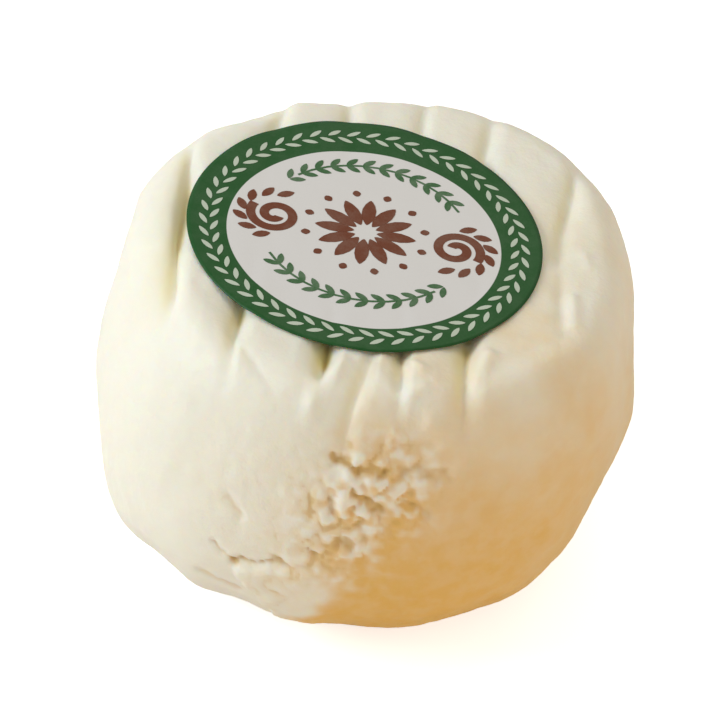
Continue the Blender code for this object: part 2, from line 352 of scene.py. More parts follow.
SWELLS = (
    Swell(176, 27.5, 11, 5.5, -1.1),
    Swell(134, 36.5, 8, 4, -0.7),
    Swell(149, 35.5, 7, 4, -0.45),
    Swell(164, 31.0, 4, 3, 0.4),
    Swell(120, 36.3, 5, 3, 0.4),
    Swell(202, 14.5, 8, 4, -0.6),
    Swell(218, 6.0, 6, 4, 0.4),
    Swell(232, 4.0, 6, 4, -0.4),
    Swell(242, 4.0, 4, 3, 0.4),
    Swell(252, 4.0, 7, 4, -0.6),
    Swell(281, 32.5, 7, 2.6, -0.5),
    Swell(305, 4.5, 10, 4, -0.4),
    Swell(326, 7.5, 4, 3, -0.3),
    Swell(340, 13.5, 10, 5.5, -0.9),
    Swell(353, 20.5, 5, 4, 0.4),
    Swell(8, 28.0, 8, 5, -0.45),
    Swell(30, 35.0, 6, 3, 0.3),
    Swell(55, 15.0, 12, 7, -0.7),
    Swell(82, 27.0, 9, 6, 0.4),
    Swell(128, 11.0, 13, 6, -0.6),
)


def eased(tree, value, start, end):
    """0 before start and 1 past end, with a soft rise between them."""
    node = tree.nodes.new("ShaderNodeMapRange")
    node.interpolation_type = "SMOOTHSTEP"
    for socket, given in zip(node.inputs, (value, start, end)):
        feed(tree, socket, given)
    return node.outputs[0]


def summed(tree, sockets):
    """The sum of any number of sockets."""
    total = sockets[0]
    for socket in sockets[1:]:
        total = maths(tree, "ADD", total, socket)
    return total


def product(tree, *values):
    """The product of any number of sockets or numbers."""
    total = values[0]
    for value in values[1:]:
        total = maths(tree, "MULTIPLY", total, value)
    return total


def distance_of(tree, x, y):
    """How far a place is from the middle, from its two offsets."""
    squared = maths(tree, "MULTIPLY_ADD", x, x, product(tree, y, y))
    return maths(tree, "SQRT", squared)


def split(tree, place):
    """The three coordinates of a place."""
    parts = tree.nodes.new("ShaderNodeSeparateXYZ")
    feed(tree, parts.inputs[0], place)
    return parts.outputs


def point_of(tree, x, y, z):
    """A place from its three coordinates."""
    joined = tree.nodes.new("ShaderNodeCombineXYZ")
    for socket, value in zip(joined.inputs, (x, y, z)):
        feed(tree, socket, value)
    return joined.outputs[0]


def feed_all(tree, node, values):
    """Feeds a node's inputs by name, with _ for a space, and gives back the node."""
    for name, value in values.items():
        feed(tree, node.inputs[name.replace("_", " ")], value)
    return node


def add_node(tree, kind, **values):
    """A new node with its inputs fed by name."""
    return feed_all(tree, tree.nodes.new(kind), values)


def noise(tree, place, size, detail=2, roughness=0.5, draw=0):
    """Soft noise, mostly between -0.5 and 0.5, with lumps of about a size; draw picks another noise."""
    scale = maths(tree, "DIVIDE", 1, size)
    node = add_node(tree, "ShaderNodeTexNoise", Vector=place, Scale=scale, Detail=detail,
                    Roughness=roughness)
    node.noise_dimensions = "4D"
    node.normalize = False
    feed(tree, node.inputs["W"], draw)
    return node.outputs["Fac"]


def use_group(tree, group, **values):
    """Places a group in a tree, feeds its inputs by name, and gives back its output."""
    node = tree.nodes.new("GeometryNodeGroup")
    node.node_tree = group
    return feed_all(tree, node, values).outputs[0]


def moved_to(tree, geometry, place):
    """A geometry with each of its points moved to a place."""
    return add_node(tree, "GeometryNodeSetPosition", Geometry=geometry, Position=place).outputs[0]


def open_sockets(tree, way, kind, *names):
    """Gives a group its named sockets of one kind: way is INPUT or OUTPUT."""
    for name in names:
        tree.interface.new_socket(name, in_out=way, socket_type="NodeSocket" + kind)


def relief_group(name, sizes, result):
    """An empty group with named numbers in and one out: the tree, its inputs and the final socket."""
    tree = bpy.data.node_groups.new(name, "GeometryNodeTree")
    open_sockets(tree, "INPUT", "Float", *sizes)
    open_sockets(tree, "OUTPUT", "Float", result)
    given = tree.nodes.new("NodeGroupInput").outputs
    final = tree.nodes.new("NodeGroupOutput").inputs[0]
    return tree, given, final


def piece_tree(name, sizes):
    """An empty tree that makes a piece from named numbers and a finish: the tree and its inputs."""
    tree = bpy.data.node_groups.new(name, "GeometryNodeTree")
    open_sockets(tree, "INPUT", "Geometry", "Geometry")
    open_sockets(tree, "INPUT", "Float", *sizes)
    open_sockets(tree, "INPUT", "Material", "Finish")
    open_sockets(tree, "OUTPUT", "Geometry", "Geometry")
    return tree, tree.nodes.new("NodeGroupInput").outputs


def end_piece_tree(tree, geometry, finish):
    """Gives a piece its finish, as the last step of its tree."""
    finished = add_node(tree, "GeometryNodeSetMaterial", Geometry=geometry, Material=finish)
    feed(tree, tree.nodes.new("NodeGroupOutput").inputs[0], finished.outputs[0])


# One pressed crease, as seen from above: deepest along a swaying line, and sharp at its bottom
CREASE_FADE = 8 * MM
CREASE_WANDER = 0.4 * MM
WANDER_LENGTH = 5 * MM
CREASE_SHARPNESS = 1.5
CREASE_CORE = 0.8 * MM            # half width of the narrow slit at the bottom
CORE_SHARE = 0.30                 # of the depth
crease_sizes = ("Back X", "Back Y", "Front X", "Front Y", "Back Depth", "Front Depth", "Slope", "Bank")
pressed_crease, given, final = relief_group("pressed crease", ("X", "Y", *crease_sizes, "Gape"), "Depth")
tree = pressed_crease
from_back = maths(tree, "SUBTRACT", given["Back Y"], given["Y"])
from_front = maths(tree, "SUBTRACT", given["Y"], given["Front Y"])
length = maths(tree, "SUBTRACT", given["Back Y"], given["Front Y"])
along = maths(tree, "DIVIDE", from_back, length, clamp=True)
run_x = maths(tree, "SUBTRACT", given["Front X"], given["Back X"])
middle = maths(tree, "MULTIPLY_ADD", run_x, along, given["Back X"])
sway = maths(tree, "DIVIDE", maths(tree, "ADD", given["Y"], given["Back X"]), WANDER_LENGTH)
middle = maths(tree, "MULTIPLY_ADD", maths(tree, "SINE", sway), CREASE_WANDER, middle)
across = maths(tree, "SUBTRACT", given["X"], middle)
on_slope = maths(tree, "LESS_THAN", across, 0)
wider = maths(tree, "SUBTRACT", given["Slope"], given["Bank"])
width = maths(tree, "MULTIPLY_ADD", on_slope, wider, given["Bank"])
outward = maths(tree, "DIVIDE", maths(tree, "ABSOLUTE", across), width)
inward = maths(tree, "MAXIMUM", maths(tree, "SUBTRACT", 1, outward), 0)
deeper = maths(tree, "SUBTRACT", given["Front Depth"], given["Back Depth"])
depth = maths(tree, "MULTIPLY_ADD", deeper, along, given["Back Depth"])
back_end = eased(tree, from_back, 0, CREASE_FADE)
front_end = eased(tree, from_front, 0, CREASE_FADE)
sides = product(tree, maths(tree, "POWER", inward, CREASE_SHARPNESS), 1 - CORE_SHARE)
in_core = maths(tree, "DIVIDE", across, CREASE_CORE)
core = maths(tree, "EXPONENT", product(tree, in_core, in_core, -1))
core = product(tree, core, maths(tree, "ADD", given["Gape"], CORE_SHARE))
feed(tree, final, product(tree, depth, back_end, front_end, maths(tree, "ADD", sides, core)))

# How near a place is to a short line: 1 on the line, falling off softly over the width
near_line, given, final = relief_group("near a line", ("U", "V", "Run U", "Run V", "Width"), "Share")
tree = near_line
u, v, run_u, run_v, width = given[:5]
run_squared = maths(tree, "MULTIPLY_ADD", run_u, run_u, product(tree, run_v, run_v))
forward = maths(tree, "MULTIPLY_ADD", u, run_u, product(tree, v, run_v))
share = maths(tree, "DIVIDE", forward, run_squared, clamp=True)
off_u = maths(tree, "SUBTRACT", u, product(tree, run_u, share))
off_v = maths(tree, "SUBTRACT", v, product(tree, run_v, share))
off = maths(tree, "DIVIDE", distance_of(tree, off_u, off_v), width)
feed(tree, final, maths(tree, "EXPONENT", product(tree, off, off, -1)))

# How far inside a spot a place is: 1 in its middle; a higher power gives it a flatter top
inside_spot, given, final = relief_group("inside a spot", ("U", "V", "Half U", "Half V", "Power"), "Share")
tree = inside_spot
shares = []
for offset, half in (("U", "Half U"), ("V", "Half V")):
    share = maths(tree, "ABSOLUTE", maths(tree, "DIVIDE", given[offset], given[half]))
    shares.append(maths(tree, "POWER", share, given["Power"]))
feed(tree, final, maths(tree, "EXPONENT", product(tree, summed(tree, shares), -1)))

# The flake of crust that stands proud at the lower front: its left edge slants down to the right
FLAKE_LEFT, FLAKE_RIGHT = math.radians(251), math.radians(273)
FLAKE_BOTTOM, FLAKE_TOP = 2.5 * MM, 13.1 * MM
FLAKE_SLANT = 0.6
FLAKE_TOP_RISE = 0.3              # its upper edge climbs to the right
FLAKE_EDGE = 0.8 * MM             # width over which its left and upper edges rise
FLAKE_FOOT = 2 * FLAKE_EDGE
FLAKE_RIGHT_EDGE = 4 * FLAKE_EDGE
FLAKE_HEIGHT = 0.42 * MM

# Faint streaks where the cloth slid over the front right, rising to the right
DRAG_ANGLE = math.radians(-42)
DRAG_RISE = 0.42
DRAG_REACH = (0.3, 0.9)           # cosines of the angle from their middle, where they start and are full
STREAK_WIDTH = 1.3 * MM
STREAK_SLOWING = 0.12             # the noise runs this much slower along them, which draws them out

# The powers of the spots on the side
SWELL_POWER = 2
PATCH_POWER = 2.2
GRAIN_POWER = 2.4

# Where slits, pits and wedges start, and what each counts for the painted highlight on the crumbs and the
# painted shade between them
SLIT_END = 0.13                   # value of the crumbs' noise at which the slit beside a crumb ends
PIT_VALUE = 0.12                  # what lies below this value of the noises is a pit
SLIT_VALUE = 0.2                  # how far a slit lowers the value
GRAIN_VALUE = 0.6 / MM            # how far a grain raises it, for its height
WEDGE_START = 0.7 * MM            # a crease deeper than this at the label's edge gets painted shade

# The tree that shapes the whole drum
curd_sizes = {
    "Front Crowding": 0.38,       # draws the sectors together at the front, where the crumbs are
    "Lump Size": 11 * MM,
    "Lump Height": 0.42 * MM,
    "Knead Size": 3.6 * MM,       # the smaller soft lumps all over
    "Knead Height": 0.14 * MM,
    "Grain Size": 1.3 * MM,
    "Grain Height": 0.035 * MM,
    "Crumb Size": 2.6 * MM,
    "Crumb Height": 0.66 * MM,
    "Slit Depth": 0.14 * MM,      # between neighbouring crumbs
    "Bit Size": 1.5 * MM,         # the small bits that make up a crumb
    "Bit Height": 0.20 * MM,
    "Jag Size": 1.8 * MM,         # how far apart the edges of cracks and crumbs turn
    "Jag Reach": 0.9 * MM,        # how far they stray
    "Drag Height": 0.07 * MM,     # of the faint streaks where the cloth slid
    "Gape": 0.12,                 # how much deeper the creases' slits are at the label's edge
    "Gape Width": 2.6 * MM,
    "Moist Shift": 0.7 * MM,      # the painted shade of the creases lies more on their slope, which faces away from the key lamp, than on the bank
    "Smooth Shoulder": 5 * MM,    # height below the top in which crumbs and cracks die out
    "Rim": 1.6 * MM,              # the swells die out over this width on both sides of the top's rim
    "Flat Foot": 1.5 * MM,        # below this height the side stays smooth
    "Dish": 0.16 * MM,            # how far the curd is pressed down under the label
    "Dish Edge": 3.5 * MM,
}
curd_tree, given = piece_tree("pressed curd", curd_sizes)
tree = curd_tree
place = tree.nodes.new("GeometryNodeInputPosition").outputs[0]
x, y, height = split(tree, place)
angle = maths(tree, "ARCTAN2", y, x)

reach = distance_of(tree, x, y)
crowding = product(tree, maths(tree, "COSINE", angle), given["Front Crowding"])
crowded_angle = maths(tree, "SUBTRACT", angle, crowding)
crowded = moved_to(tree, given["Geometry"], point_of(
    tree, product(tree, maths(tree, "COSINE", crowded_angle), reach),
    product(tree, maths(tree, "SINE", crowded_angle), reach), height))

level = maths(tree, "SUBTRACT", maths(tree, "DIVIDE", height, HEIGHT), 0.5)
factor = 1
for waves, strength in ((ROUNDNESS, 1), (LEAN, level)):
    for wave in waves:
        turned = maths(tree, "SUBTRACT", angle, math.radians(wave.angle))
        ripple = maths(tree, "COSINE", product(tree, turned, wave.order))
        factor = maths(tree, "MULTIPLY_ADD", product(tree, ripple, strength), wave.amount, factor)
widened = moved_to(
    tree, crowded, point_of(tree, product(tree, x, factor), product(tree, y, factor), height))

above_girth = maths(tree, "GREATER_THAN", height, GIRTH_HEIGHT)
from_label_x = maths(tree, "SUBTRACT", x, LABEL_CENTRE.x)
past_label = maths(tree, "SUBTRACT", distance_of(tree, from_label_x, y), LABEL_RADIUS)


def deepest_crease(tree, x, y, gape):
    """The depth of the deepest of all the pressed creases at a place seen from above."""
    deepest = 0
    for crease in CREASES:
        sizes = (*crease.back, *crease.front, *crease[2:])
        in_metres = {name.replace(" ", "_"): size * MM for name, size in zip(crease_sizes, sizes)}
        depth = use_group(tree, pressed_crease, X=x, Y=y, Gape=gape, **in_metres)
        deepest = maths(tree, "MAXIMUM", deepest, depth)
    return deepest


edge_distance = maths(tree, "DIVIDE", past_label, given["Gape Width"])
at_edge = maths(tree, "EXPONENT", product(tree, edge_distance, edge_distance, -1))
gape = product(tree, at_edge, given["Gape"])
pressed = product(tree, deepest_crease(tree, x, y, gape), above_girth)
# where the creases get painted shade: moved onto their slopes, which face away from the key lamp
painted_crease_shade = deepest_crease(tree, maths(tree, "ADD", x, given["Moist Shift"]), y, gape)

ridges = []
for ridge in RIDGES:
    u = maths(tree, "SUBTRACT", x, ridge.start[0] * MM)
    v = maths(tree, "SUBTRACT", y, ridge.start[1] * MM)
    near = use_group(tree, near_line, U=u, V=v, Run_U=(ridge.end[0] - ridge.start[0]) * MM,
                     Run_V=(ridge.end[1] - ridge.start[1]) * MM, Width=ridge.width * MM)
    ridges.append(product(tree, near, ridge.rise * MM))
ridged = product(tree, summed(tree, ridges), above_girth)

stray = noise(tree, place, given["Jag Size"], detail=1, draw=1)
jag_angle = maths(tree, "DIVIDE", product(tree, stray, given["Jag Reach"]), GIRTH_RADIUS)
jagged_angle = maths(tree, "ADD", angle, jag_angle)
stray = noise(tree, place, given["Jag Size"], detail=1, draw=2)
jagged_height = maths(tree, "MULTIPLY_ADD", stray, given["Jag Reach"], height)


def round_the_girth(tree, angle, other):
    """Distance round the girth from another angle, the short way round."""
    turned = maths(tree, "WRAP", maths(tree, "SUBTRACT", angle, other), math.pi, -math.pi)
    return product(tree, turned, GIRTH_RADIUS)


def spot_on_side(spot, width, half_height, power, angle, height):
    """The share of a spot's full effect at an angle and height of the side."""
    u = round_the_girth(tree, angle, math.radians(spot.angle))
    v = maths(tree, "SUBTRACT", height, spot.height * MM)
    return use_group(tree, inside_spot, U=u, V=v, Half_U=width, Half_V=half_height, Power=power)


cracks = []
for crack in CRACKS:
    u = round_the_girth(tree, jagged_angle, math.radians(crack.start[0]))
    v = maths(tree, "SUBTRACT", jagged_height, crack.start[1] * MM)
    run = math.radians(crack.end[0] - crack.start[0]) * GIRTH_RADIUS
    near = use_group(tree, near_line, U=u, V=v, Run_U=run,
                     Run_V=(crack.end[1] - crack.start[1]) * MM, Width=crack.width * MM)
    cracks.append(product(tree, near, crack.depth * MM))
cracked = summed(tree, cracks)

swells = []
for swell in SWELLS:
    half_width = math.radians(swell.half_angle) * GIRTH_RADIUS
    share = spot_on_side(swell, half_width, swell.half_height * MM, SWELL_POWER, angle, height)
    swells.append(product(tree, share, swell.rise * MM))
patches = []
for patch in PATCHES:
    half_width = math.radians(patch.half_angle) * GIRTH_RADIUS
    half_height = patch.half_height * MM
    share = spot_on_side(patch, half_width, half_height, PATCH_POWER, jagged_angle, jagged_height)
    patches.append(product(tree, share, patch.roughness))
crumbled = summed(tree, patches)
grains = []
for grain in GRAINS:
    width = grain.width * MM
    share = spot_on_side(grain, width, width, GRAIN_POWER, jagged_angle, jagged_height)
    grains.append(product(tree, share, grain.rise * MM))
grains = summed(tree, grains)

# Crumbs are the round tops between the places where a noise passes through zero, which are the slits
round_tops = maths(tree, "ABSOLUTE", noise(tree, place, given["Crumb Size"], detail=1, draw=3))
slits = maths(tree, "SUBTRACT", 1, eased(tree, round_tops, 0, SLIT_END))
bits = noise(tree, place, given["Bit Size"], detail=1, draw=4)
crumbs = product(tree, round_tops, given["Crumb Height"])
crumbs = maths(tree, "MULTIPLY_ADD", bits, given["Bit Height"], crumbs)
crumbs = maths(tree, "SUBTRACT", crumbs, product(tree, slits, given["Slit Depth"]))
rough = maths(tree, "MULTIPLY_ADD", crumbs, crumbled, grains)

drop = maths(tree, "SUBTRACT", FLAKE_TOP, height)
past_left = round_the_girth(tree, jagged_angle, FLAKE_LEFT)
flake_left = maths(tree, "MULTIPLY_ADD", drop, -FLAKE_SLANT, past_left)
flake_right = product(tree, round_the_girth(tree, jagged_angle, FLAKE_RIGHT), -1)
flake_top = maths(tree, "MULTIPLY_ADD", round_the_girth(tree, angle, FLAKE_LEFT), FLAKE_TOP_RISE, drop)
flake_bottom = maths(tree, "SUBTRACT", height, FLAKE_BOTTOM)
flake = FLAKE_HEIGHT
for inside, edge in ((flake_left, FLAKE_EDGE), (flake_right, FLAKE_RIGHT_EDGE),
                     (flake_top, FLAKE_EDGE), (flake_bottom, FLAKE_FOOT)):
    flake = product(tree, eased(tree, inside, 0, edge), flake)

drag_round = round_the_girth(tree, angle, DRAG_ANGLE)
drag_along = maths(tree, "MULTIPLY_ADD", height, DRAG_RISE, drag_round)
drag_across = maths(tree, "MULTIPLY_ADD", drag_round, -DRAG_RISE, height)
drag_place = point_of(tree, product(tree, drag_along, STREAK_SLOWING), drag_across, 0)
streaks = noise(tree, drag_place, STREAK_WIDTH, roughness=0.6, draw=5)
drag_facing = maths(tree, "COSINE", maths(tree, "SUBTRACT", angle, DRAG_ANGLE))
dragged = product(tree, streaks, eased(tree, drag_facing, *DRAG_REACH), given["Drag Height"])

lumps = product(tree, noise(tree, place, given["Lump Size"], detail=0), given["Lump Height"])
kneaded = noise(tree, place, given["Knead Size"], detail=1, draw=6)
kneaded = product(tree, kneaded, given["Knead Height"])
grained = noise(tree, place, given["Grain Size"], roughness=0.6, draw=7)
grained = product(tree, grained, given["Grain Height"])
side = eased(tree, maths(tree, "SUBTRACT", HEIGHT, height), 0, given["Smooth Shoulder"])
foot = eased(tree, height, 0, given["Flat Foot"])
rim_start = maths(tree, "SUBTRACT", TOP_RADIUS, given["Rim"])
rim_end = maths(tree, "ADD", TOP_RADIUS, given["Rim"])
rim = eased(tree, distance_of(tree, x, y), rim_start, rim_end)
dish = maths(tree, "SUBTRACT", 1, eased(tree, past_label, 0, given["Dish Edge"]))
dish = product(tree, dish, given["Dish"], above_girth)

curd = summed(tree, [lumps, rough, flake, dragged])
curd = product(tree, maths(tree, "SUBTRACT", curd, cracked), side)
curd = maths(tree, "MULTIPLY_ADD", rim, summed(tree, swells), curd)
curd = product(tree, summed(tree, [curd, kneaded, grained]), foot)
relief = maths(tree, "ADD", curd, ridged)
relief = maths(tree, "SUBTRACT", relief, maths(tree, "ADD", pressed, dish))
relief = product(tree, relief, maths(tree, "GREATER_THAN", height, 0))
outward = tree.nodes.new("ShaderNodeVectorMath")
outward.operation = "SCALE"
feed(tree, outward.inputs[0], tree.nodes.new("GeometryNodeInputNormal").outputs["Normal"])
feed(tree, outward.inputs["Scale"], relief)


def keep_value(tree, geometry, name, value):
    """Keeps a value at each point of the mesh, for the material to read."""
    kept = tree.nodes.new("GeometryNodeStoreNamedAttribute")
    kept.data_type = "FLOAT"
    kept.domain = "POINT"
    feed_all(tree, kept, {"Geometry": geometry, "Name": name, "Value": value})
    return kept.outputs["Geometry"]


# a value for the painted light on the crumbs: high on their tops for a painted highlight, low in the pits
# and slits for painted shade
crumb_light_and_shade = maths(tree, "SUBTRACT", maths(tree, "ADD", round_tops, bits), PIT_VALUE)
crumb_light_and_shade = maths(tree, "SUBTRACT", crumb_light_and_shade, product(tree, slits, SLIT_VALUE))
crumb_light_and_shade = maths(tree, "MULTIPLY_ADD", grains, GRAIN_VALUE, product(tree, crumb_light_and_shade, crumbled))
# how deep a crease gapes at the label's edge, for the painted shade there
wedge = product(tree, maths(tree, "MAXIMUM", maths(tree, "SUBTRACT", pressed, WEDGE_START), 0), at_edge)
with_values = keep_value(tree, widened, "crumbled", crumbled)
with_values = keep_value(tree, with_values, "crumb", crumb_light_and_shade)
for name, depth in (("wedge", wedge), ("crack", product(tree, cracked, side)),
                    ("crease", product(tree, painted_crease_shade, above_girth))):
    with_values = keep_value(tree, with_values, name, product(tree, depth, 1 / MM))
raised = add_node(tree, "GeometryNodeSetPosition", Geometry=with_values, Offset=outward.outputs[0])
end_piece_tree(tree, raised.outputs[0], given["Finish"])


def turned_piece(name, outline, sectors):
    """An object with an outline, turned about Z by a Screw modifier."""
    mesh = bpy.data.meshes.new(name)
    edges = [(i, i + 1) for i in range(len(outline) - 1)]
    mesh.from_pydata([(radius, 0, height) for radius, height in outline], edges, [])
    piece = bpy.data.objects.new(name, mesh)
    scene.collection.objects.link(piece)
    screw = piece.modifiers.new("turn", "SCREW")
    screw.steps = sectors
    screw.render_steps = sectors
    screw.use_merge_vertices = True
    screw.merge_threshold = 0.01 * MM
    return piece


def grow(piece, tree, values):
    """Runs a Geometry Nodes tree on a piece with named inputs, and keeps the result as its mesh."""
    modifier = piece.modifiers.new("grow", "NODES")
    modifier.node_group = tree
    for item in tree.interface.items_tree:
        if item.item_type == "SOCKET" and item.in_out == "INPUT" and item.name in values:
            modifier[item.identifier] = values[item.name]
    graph = bpy.context.evaluated_depsgraph_get()
    mesh = bpy.data.meshes.new_from_object(piece.evaluated_get(graph))
    piece.modifiers.clear()
    piece.data = mesh
    mesh.name = piece.name
    mesh.shade_smooth()


def own_value(tree, name):
    """A value that the piece's mesh keeps at each point."""
    node = tree.nodes.new("ShaderNodeAttribute")
    node.attribute_name = name
    return node.outputs["Fac"]


def fine_relief(tree, shader, height, strength, distance):
    """Relief too fine for the mesh, as a bump on the surface."""
    bump = add_node(tree, "ShaderNodeBump", Strength=strength, Distance=distance, Height=height)
    feed(tree, shader.inputs["Normal"], bump.outputs[0])


# How the curd is coloured: cream white, with painted warm bounce light in straw yellow at its lower front
# right, painted shade in ochre and olive in its cracks, pits and creases, and a painted highlight on its
# crumbs
CREAM = (0.92, 0.89, 0.79, 1)
# painted warm bounce light, in straw yellow, on the side away from the key lamp
PAINTED_WARM_BOUNCE = (0.84, 0.50, 0.09, 1)
CREASE_SLOPE_SHADE = (0.84, 0.75, 0.42, 1)     # painted shade on the creases' slopes, olive as light through the curd
DEEP_CREASE_SHADE = (0.84, 0.68, 0.24, 1)      # and darker painted shade in the deepest creases and under the label's edge
# painted shade in pits and cracks, in ochre
PIT_AND_CRACK_SHADE = (0.74, 0.49, 0.15, 1)
# off-white: the random mottle, and a painted highlight on the crumbs' tops
OFF_WHITE_AND_HIGHLIGHT = (0.95, 0.93, 0.88, 1)
BOUNCE_ANGLE = math.radians(268.5)        # the left edge of the painted warm bounce light at the foot
BOUNCE_LEAN = 1.0                         # radians a metre: this edge drifts to the right as it climbs
BOUNCE_EDGE = (-0.10, 0.16)               # radians past it, where the tint starts and where it is full
BOUNCE_FADE = (math.radians(30), math.radians(155))  # and between which it fades out again
BOUNCE_LEAST = 0.03                       # its share all the way round
BOUNCE_FULL, BOUNCE_END = 8 * MM, 42 * MM  # heights between which it fades upward
BOUNCE_HOLD = 2.0                         # a higher power holds it longer as it climbs
DRIFT_SIZE = 8 * MM                      # of the clouds by which its edges stray
DRIFT_ROUND = 0.25                       # radians that they stray round the girth
DRIFT_UP = 5 * MM                        # and how far they stray up and down
MOTTLE_SIZE = 2.1 * MM
FINE_GRAIN, SKIN_GRAIN = 0.45 * MM, 1.4 * MM
BODY_LIGHT = 0.7                         # share of the light that passes through the body


def tinted(tree, tint, colour, where, cover):
    """A tint with another over it: where is its mask, and cover is how much of the first it hides there."""
    return mixed(tree, product(tree, where, cover), tint, colour)


def curd_material():
    """Fresh curd: light passes through its body, and its skin is satin with a fine grain."""
    material, tree, shader = new_finish("fresh_curd", roughness=0.5, specular=0.35)
    place = tree.nodes.new("ShaderNodeTexCoord").outputs["Object"]
    x, y, height = split(tree, place)
    drift = noise(tree, place, DRIFT_SIZE)
    turned = maths(tree, "SUBTRACT", maths(tree, "ARCTAN2", y, x), BOUNCE_ANGLE)
    turned = maths(tree, "SUBTRACT", turned, product(tree, height, BOUNCE_LEAN))
    turned = maths(tree, "MULTIPLY_ADD", drift, DRIFT_ROUND, turned)
    turned = maths(tree, "WRAP", turned, math.pi * 1.5, -math.pi / 2)
    # painted warm bounce light: on the lower front right, the side away from the key lamp, its edges
    # strayed by the drift
    painted_bounce_side = product(tree, eased(tree, turned, *BOUNCE_EDGE),
                         maths(tree, "SUBTRACT", 1, eased(tree, turned, *BOUNCE_FADE)))
    painted_bounce_side = maths(tree, "MULTIPLY_ADD", painted_bounce_side, 1 - BOUNCE_LEAST, BOUNCE_LEAST)
    high = maths(tree, "MULTIPLY_ADD", drift, DRIFT_UP, maths(tree, "SUBTRACT", height, BOUNCE_FULL))
    high = maths(tree, "DIVIDE", high, BOUNCE_END - BOUNCE_FULL, clamp=True)
    low = maths(tree, "SUBTRACT", 1, maths(tree, "POWER", high, BOUNCE_HOLD))
    # cream, with the painted warm bounce light over it, fading out upward from the foot
    tint = mixed(tree, product(tree, low, painted_bounce_side), CREAM, PAINTED_WARM_BOUNCE)

    # The mesh keeps the depths of its creases, wedges and cracks in millimetres
    crumb, crease, wedge, crack = (own_value(tree, name) for name in ("crumb", "crease", "wedge", "crack"))
    # the crumbled patches take part of the painted warm bounce light as well
    tint = tinted(tree, tint, PAINTED_WARM_BOUNCE, own_value(tree, "crumbled"), cover=0.45)
    # painted highlight on the crumbs' tops, which stand proud
    tint = tinted(tree, tint, OFF_WHITE_AND_HIGHLIGHT, eased(tree, crumb, -0.08, 0.42), cover=0.8)
    # painted shade in the pits between the crumbs
    tint = tinted(tree, tint, PIT_AND_CRACK_SHADE, eased(tree, product(tree, crumb, -1), 0.06, 0.3), cover=0.55)
    # painted shade on the creases' slopes
    tint = tinted(tree, tint, CREASE_SLOPE_SHADE, eased(tree, crease, 0.15, 1.6), cover=0.68)
    # darker painted shade in the deepest creases and in the gaps under the label's edge
    painted_crease_shade = maths(tree, "MAXIMUM", eased(tree, crease, 1.2, 2.6), eased(tree, wedge, 0.1, 1.1))
    tint = tinted(tree, tint, DEEP_CREASE_SHADE, painted_crease_shade, cover=0.9)
    # painted shade in the cracks
    tint = tinted(tree, tint, PIT_AND_CRACK_SHADE, eased(tree, crack, 0.15, 0.7), cover=0.85)
    mottle = eased(tree, noise(tree, place, MOTTLE_SIZE, detail=3, draw=1), -0.5, 0.6)
    tint = tinted(tree, tint, OFF_WHITE_AND_HIGHLIGHT, mottle, cover=0.10)
    feed(tree, shader.inputs["Base Color"], tint)
    feed(tree, shader.inputs["Roughness"], maths(tree, "MULTIPLY_ADD", mottle, 0.14, 0.40))

    shader.inputs["Subsurface Weight"].default_value = BODY_LIGHT
    shader.inputs["Subsurface Radius"].default_value = (1.0, 0.72, 0.42)
    shader.inputs["Subsurface Scale"].default_value = 1.1 * MM
    fine_grain = noise(tree, place, FINE_GRAIN, roughness=0.6, draw=3)
    skin_grain = noise(tree, place, SKIN_GRAIN, draw=2)
    grain = maths(tree, "MULTIPLY_ADD", fine_grain, 0.4, skin_grain)
    fine_relief(tree, shader, grain, strength=0.35, distance=0.07 * MM)
    return material


curd = turned_piece("curd_drum", drum_outline(), SECTORS)
grow(curd, curd_tree, {**curd_sizes, "Finish": curd_material()})
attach(curd, "root")
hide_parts("cheese")


# The label
# A round of smooth white paper with a green ring printed a little off centre, laid on the moist curd.
# It sticks to the lobes and bridges the creases, so that its edge waves and dips a little.
LABEL_LEVEL = HEIGHT + 0.1 * MM   # the upper face of the paper where it lies lowest
PAPER_THICKNESS = 0.12 * MM
PAPER_SECTORS = 240
PAPER_RINGS = 40
RING_CENTRE = Vector((LABEL_CENTRE.x, -1.0 * MM))
RING_INSIDE = 15.9 * MM
PRINT_BLUR = 0.04 * MM            # on both sides of the ring's inner edge
PAPER_WHITE = (0.75, 0.735, 0.74, 1)
RING_GREEN = (0.0125, 0.090, 0.0185, 1)

paper_lies = {"Wave": 0.15 * MM, "Pitch": 9 * MM, "Reach": LABEL_RADIUS, "Dip": 0.10}
paper_lie, given, final = relief_group("lie of the paper", ("X", "Y", *paper_lies), "Height")
tree = paper_lie
x, y = given["X"], given["Y"]
reach = distance_of(tree, maths(tree, "SUBTRACT", x, LABEL_CENTRE.x), y)
at_edge = eased(tree, reach, maths(tree, "DIVIDE", given["Reach"], 2), given["Reach"])
phase = maths(tree, "DIVIDE", maths(tree, "MULTIPLY_ADD", x, math.tau, y), given["Pitch"])
lift = maths(tree, "MULTIPLY_ADD", maths(tree, "SINE", phase), 0.5, 0.5)
lift = product(tree, lift, given["Wave"])
dip = product(tree, deepest_crease(tree, x, y, 0), given["Dip"])
lift = product(tree, maths(tree, "SUBTRACT", lift, dip), at_edge)
feed(tree, final, maths(tree, "ADD", lift, LABEL_LEVEL))


